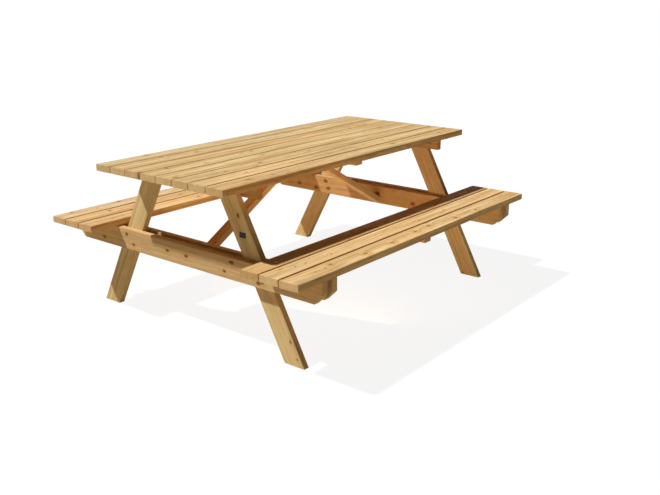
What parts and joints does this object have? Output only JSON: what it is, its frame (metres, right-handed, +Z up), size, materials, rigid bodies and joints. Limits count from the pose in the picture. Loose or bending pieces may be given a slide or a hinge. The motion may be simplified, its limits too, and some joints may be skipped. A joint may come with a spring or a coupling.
{
  "type": "picnic table",
  "caption": "A-frame wooden picnic table with slatted benches fixed along either side to leaning-leg end frames, braced under the tabletop.",
  "frame": {"origin": "on the ground under the middle of the tabletop", "axes": "+X along the table's length, +Y across it from the front bench to the rear bench, +Z up"},
  "size_m": [1.8, 1.54, 0.74],
  "materials": {
    "tabletop_wood": "planed pine with a clear honey-toned treatment, satin",
    "bench_wood": "planed pine with a clear honey-toned treatment, satin",
    "frame_wood": "planed pine with a clear honey-toned treatment, satin",
    "screws": "yellow zinc plated, satin",
    "plate": "blank black plate, matt"
  },
  "bodies": {
    "root": {"top_board_1": "tabletop_wood", "top_board_2": "tabletop_wood", "top_board_3": "tabletop_wood", "top_board_4": "tabletop_wood", "top_board_5": "tabletop_wood", "top_board_6": "tabletop_wood", "top_board_7": "tabletop_wood", "top_board_8": "tabletop_wood", "front_seat_board_1": "bench_wood", "front_seat_board_2": "bench_wood", "front_seat_board_3": "bench_wood", "rear_seat_board_1": "bench_wood", "rear_seat_board_2": "bench_wood", "rear_seat_board_3": "bench_wood", "left_front_leg": "frame_wood", "left_rear_leg": "frame_wood", "right_front_leg": "frame_wood", "right_rear_leg": "frame_wood", "left_outer_bearer": "frame_wood", "left_inner_bearer": "frame_wood", "left_top_bearer": "frame_wood", "left_brace": "frame_wood", "right_outer_bearer": "frame_wood", "right_inner_bearer": "frame_wood", "right_top_bearer": "frame_wood", "right_brace": "frame_wood", "top_batten": "frame_wood", "front_seat_batten": "frame_wood", "rear_seat_batten": "frame_wood", "top_bearer_screws": "screws", "top_batten_screws": "screws", "seat_board_screws": "screws", "seat_batten_screws": "screws", "outer_leg_screws": "screws", "inner_leg_screws": "screws", "leg_top_screws": "screws", "brace_foot_screws": "screws", "brace_head_screws": "screws"}
  },
  "joints": []
}
